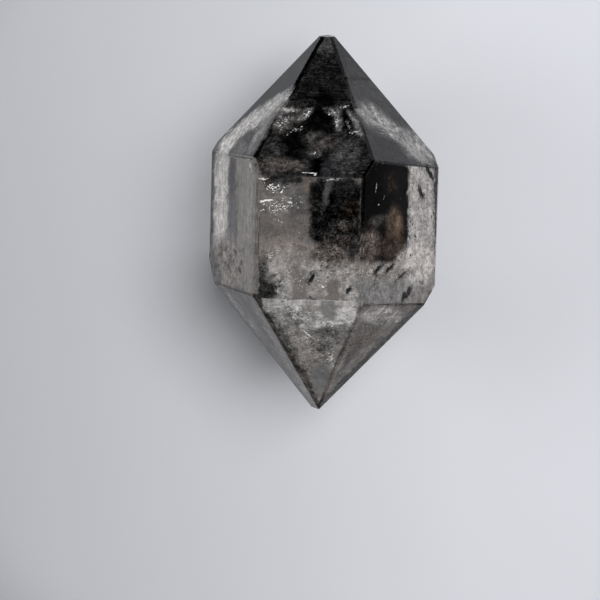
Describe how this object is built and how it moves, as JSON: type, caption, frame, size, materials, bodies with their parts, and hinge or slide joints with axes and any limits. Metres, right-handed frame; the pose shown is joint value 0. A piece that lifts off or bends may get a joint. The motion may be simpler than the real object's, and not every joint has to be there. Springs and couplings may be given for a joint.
{
  "type": "double-terminated quartz crystal",
  "caption": "Clear smoky quartz crystal: a six-sided prism with a faceted point at each end and dark inclusions inside, lying on one flat side face.",
  "frame": {"origin": "centre of the crystal's box, on the surface that it lies on", "axes": "+Y along the long axis towards the broader, darker point, +Z up out of the upper side face, +X to the right when the crystal is seen from above with +Y up"},
  "size_m": [0.0258, 0.0418, 0.0235],
  "materials": {
    "smoky_clear_quartz": "see-through stone with polished flat faces, faintly smoky, with dark and milky inclusions seen inside it"
  },
  "bodies": {
    "root": {"quartz_crystal": "smoky_clear_quartz"}
  },
  "joints": []
}
